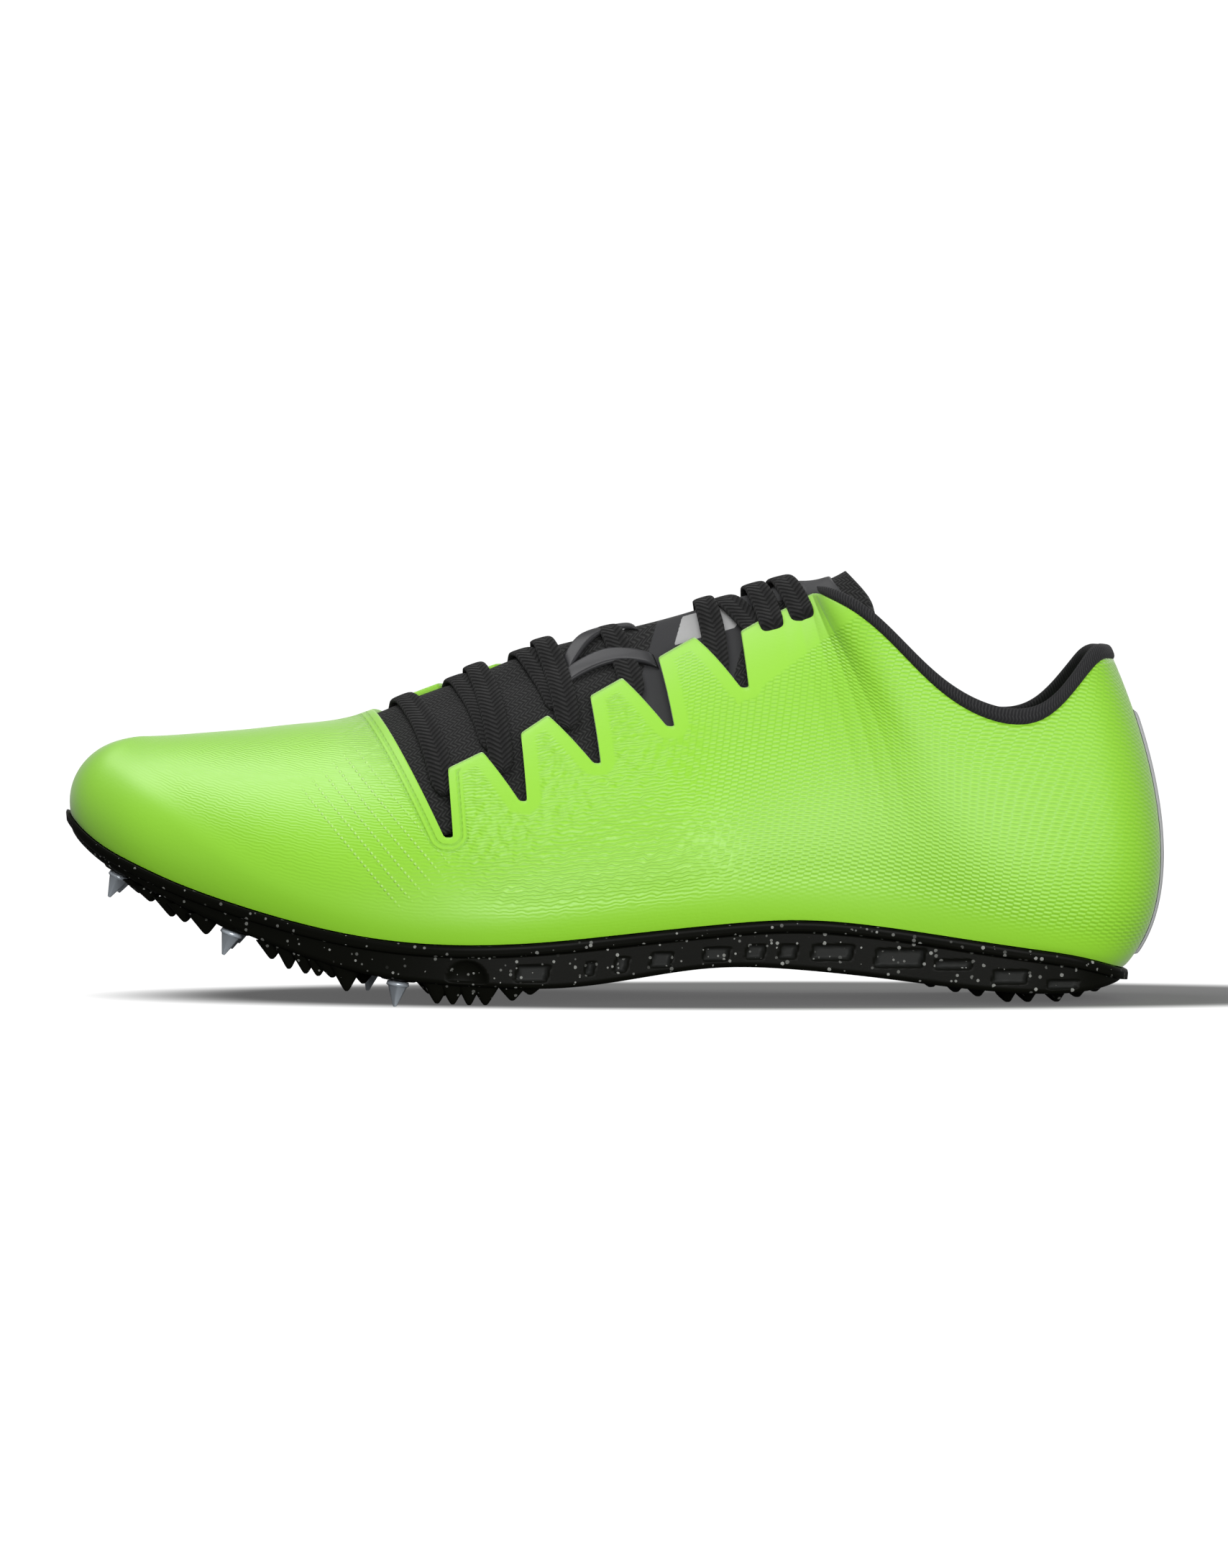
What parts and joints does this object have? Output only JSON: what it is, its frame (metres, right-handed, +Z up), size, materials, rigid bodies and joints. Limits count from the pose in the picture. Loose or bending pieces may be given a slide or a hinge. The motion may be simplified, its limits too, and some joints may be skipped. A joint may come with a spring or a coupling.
{
  "type": "track spike shoe",
  "caption": "Low-cut sprint spike shoe: knit upper with a toothed throat, wide tongue, flat laces, stiff curved plate and steel pins.",
  "frame": {"origin": "middle of the shoe's box, on the floor", "axes": "+X to the heel, -Y to the outer (lateral) side, +Z up"},
  "size_m": [0.2828, 0.0932, 0.109],
  "materials": {
    "knit": "lime engineered knit fused to a thin film, soft sheen",
    "binding": "black knit binding, matt",
    "strip": "grey reflective film",
    "tongue_mesh": "black open mesh, matt",
    "patch": "dark grey smooth film pad, satin",
    "keeper": "dark grey glossy webbing",
    "sockliner": "black sock fabric over a thin board",
    "plate": "black moulded nylon with fine pale speckle, semi-gloss",
    "lace": "flat black braid, matt",
    "pin_steel": "bright zinc-plated steel"
  },
  "bodies": {
    "root": {"upper": "knit", "collar_binding": "binding", "heel_strip": "strip", "tongue": "tongue_mesh", "tongue_patch": "patch", "lace_keeper": "keeper", "insole": "sockliner", "sole": "plate", "lace_row_1": "lace", "lace_row_2": "lace", "lace_row_3": "lace", "lace_row_4": "lace", "lace_row_5": "lace", "lace_row_6": "lace", "lace_row_7": "lace", "pin_1": "pin_steel", "pin_2": "pin_steel", "pin_3": "pin_steel", "pin_4": "pin_steel", "pin_5": "pin_steel", "pin_6": "pin_steel", "pin_7": "pin_steel"}
  },
  "joints": []
}
